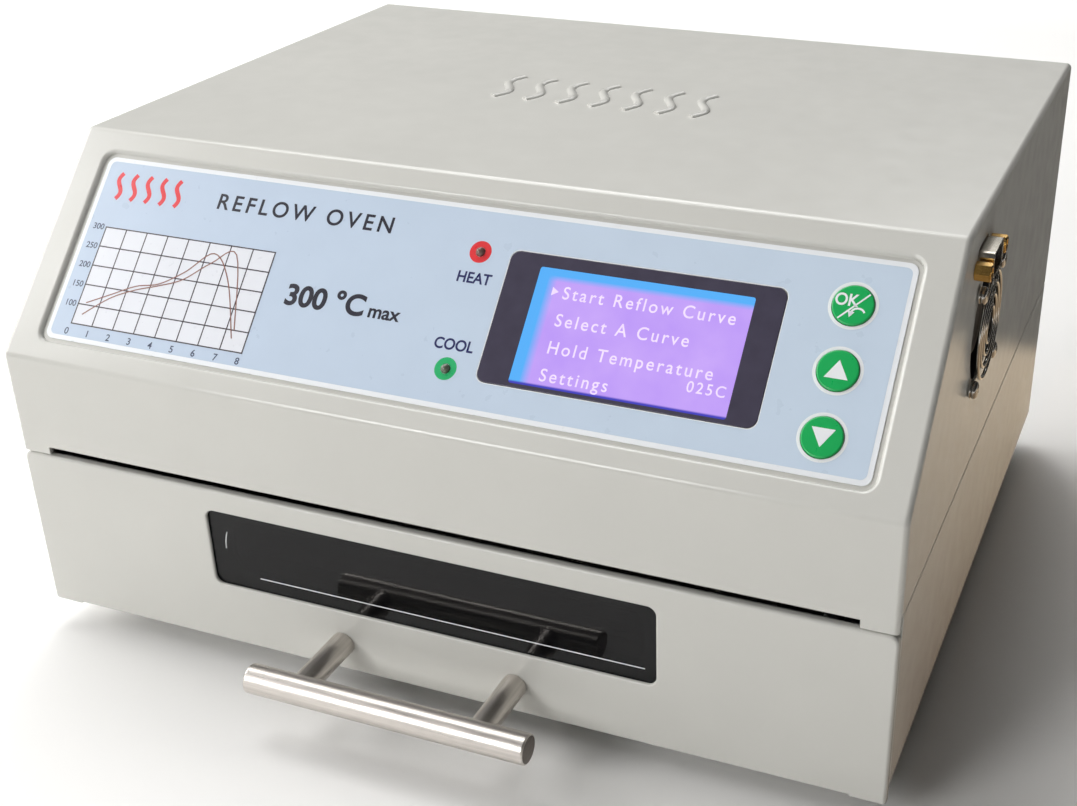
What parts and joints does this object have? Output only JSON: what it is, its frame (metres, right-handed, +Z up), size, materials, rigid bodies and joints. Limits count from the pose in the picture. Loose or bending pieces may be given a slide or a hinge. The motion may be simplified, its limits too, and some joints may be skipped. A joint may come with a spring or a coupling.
{
  "type": "reflow oven",
  "caption": "Bench reflow oven: a sheet-steel box with a sloping control panel, a windowed drawer on telescopic rails, quartz heaters, fans and a mains inlet.",
  "frame": {"origin": "on the surface that the oven stands on, below the middle of its body", "axes": "+X to the oven's right as seen from the front, the drawer opens along -Y, +Z up"},
  "size_m": [0.3151, 0.3022, 0.17],
  "materials": {
    "cream_paint": "fine satin powder coat",
    "screw_steel": "bright zinc plate",
    "rubber_black": "matt",
    "galvanised": "galvanised sheet, satin",
    "stainless": "fine brushed",
    "reflector_sheet": "polished",
    "quartz": "clear fused quartz",
    "heater_wire": "oxidised resistance wire",
    "ceramic_white": "matt steatite",
    "fibre_board": "ceramic fibre board",
    "smoked_glass": "dark tempered glass, polished",
    "overlay_film": "satin printed film",
    "display_lens": "clear film with a dark border",
    "display_metal": "satin black",
    "circuit_board": "solder mask",
    "key_green": "satin",
    "lamp_red": "translucent",
    "lamp_green": "translucent",
    "fan_black": "moulded",
    "guard_wire": "nickel-plated wire",
    "nickel": "nickel plate",
    "port_blue": "moulded",
    "brass_hex": "turned",
    "inlet_black": "moulded, satin",
    "core_steel": "varnished laminations"
  },
  "bodies": {
    "oven": {"base_pan": "cream_paint", "front_frame": "cream_paint", "rear_panel": "cream_paint", "top_cover": "cream_paint", "rubber_feet": "rubber_black", "foot_screws": "screw_steel", "rear_screws": "screw_steel", "chamber_liner": "galvanised", "ceiling_insulation": "fibre_board", "side_insulation": "fibre_board", "equipment_shelf": "galvanised", "reflector": "reflector_sheet", "quartz_tubes": "quartz", "heater_rods": "heater_wire", "tube_holders": "ceramic_white", "thermocouple": "stainless", "rail_outer_left": "galvanised", "rail_outer_right": "galvanised", "front_overlay": "overlay_film", "display_lens": "display_lens", "display_frame": "display_metal", "display_board": "circuit_board", "key_board": "circuit_board", "heat_lamp": "lamp_red", "cool_lamp": "lamp_green", "side_fan_frame": "fan_black", "side_fan_guard": "guard_wire", "side_fan_screws": "screw_steel", "serial_shell": "nickel", "serial_insert": "port_blue", "jack_nuts": "brass_hex", "rear_fan_frame": "fan_black", "rear_fan_guard": "guard_wire", "rear_fan_screws": "screw_steel", "power_inlet": "inlet_black", "switch_housing": "inlet_black", "control_board": "circuit_board", "transformer": "core_steel"},
    "drawer": {"drawer_front": "cream_paint", "drawer_window": "smoked_glass", "drawer_inner_panel": "galvanised", "drawer_tray": "galvanised", "tray_insulation": "fibre_board", "tray_liner": "stainless", "board_rack": "stainless", "drawer_screws": "screw_steel", "handle_bar": "stainless", "handle_posts": "stainless", "handle_screws": "screw_steel", "rail_inner_left": "galvanised", "rail_inner_right": "galvanised"},
    "left_slide": {"rail_middle_left": "galvanised"},
    "right_slide": {"rail_middle_right": "galvanised"},
    "ok_key": {"key_ok": "key_green"},
    "up_key": {"key_up": "key_green"},
    "down_key": {"key_down": "key_green"},
    "side_rotor": {"side_fan_rotor": "fan_black"},
    "rear_rotor": {"rear_fan_rotor": "fan_black"},
    "fuse_holder": {"fuse_drawer": "inlet_black"},
    "rocker": {"switch_rocker": "inlet_black"}
  },
  "joints": [
    {"name": "drawer_slide", "type": "slide", "parent": "oven", "child": "drawer", "axis": [0, -1, 0], "range_m": [0, 0.18]},
    {"name": "left_rail_slide", "type": "slide", "parent": "oven", "child": "left_slide", "axis": [0, -1, 0], "range_m": [0, 0.09]},
    {"name": "right_rail_slide", "type": "slide", "parent": "oven", "child": "right_slide", "axis": [0, -1, 0], "range_m": [0, 0.09]},
    {"name": "ok_press", "type": "slide", "parent": "oven", "child": "ok_key", "axis": [0, 0.7204, -0.6936], "range_m": [0, 0.0005], "stiffness_N_per_m": 300},
    {"name": "up_press", "type": "slide", "parent": "oven", "child": "up_key", "axis": [0, 0.7204, -0.6936], "range_m": [0, 0.0005], "stiffness_N_per_m": 300},
    {"name": "down_press", "type": "slide", "parent": "oven", "child": "down_key", "axis": [0, 0.7204, -0.6936], "range_m": [0, 0.0005], "stiffness_N_per_m": 300},
    {"name": "side_fan_spin", "type": "hinge", "parent": "oven", "child": "side_rotor", "pos_m": [0.149, -0.0355, 0.128], "axis": [1, 0, 0], "continuous": true},
    {"name": "rear_fan_spin", "type": "hinge", "parent": "oven", "child": "rear_rotor", "pos_m": [-0.062, 0.1172, 0.058], "axis": [0, 1, 0], "continuous": true},
    {"name": "fuse_pull", "type": "slide", "parent": "oven", "child": "fuse_holder", "axis": [0, 1, 0], "range_m": [0, 0.02]},
    {"name": "power_rock", "type": "hinge", "parent": "oven", "child": "rocker", "pos_m": [0.092, 0.1292, 0.086], "axis": [0, 0, -1], "range_deg": [0, 18]}
  ],
  "couplings": [
    {"joint": "left_rail_slide", "follows": "drawer_slide", "ratio": 0.5},
    {"joint": "right_rail_slide", "follows": "drawer_slide", "ratio": 0.5}
  ]
}
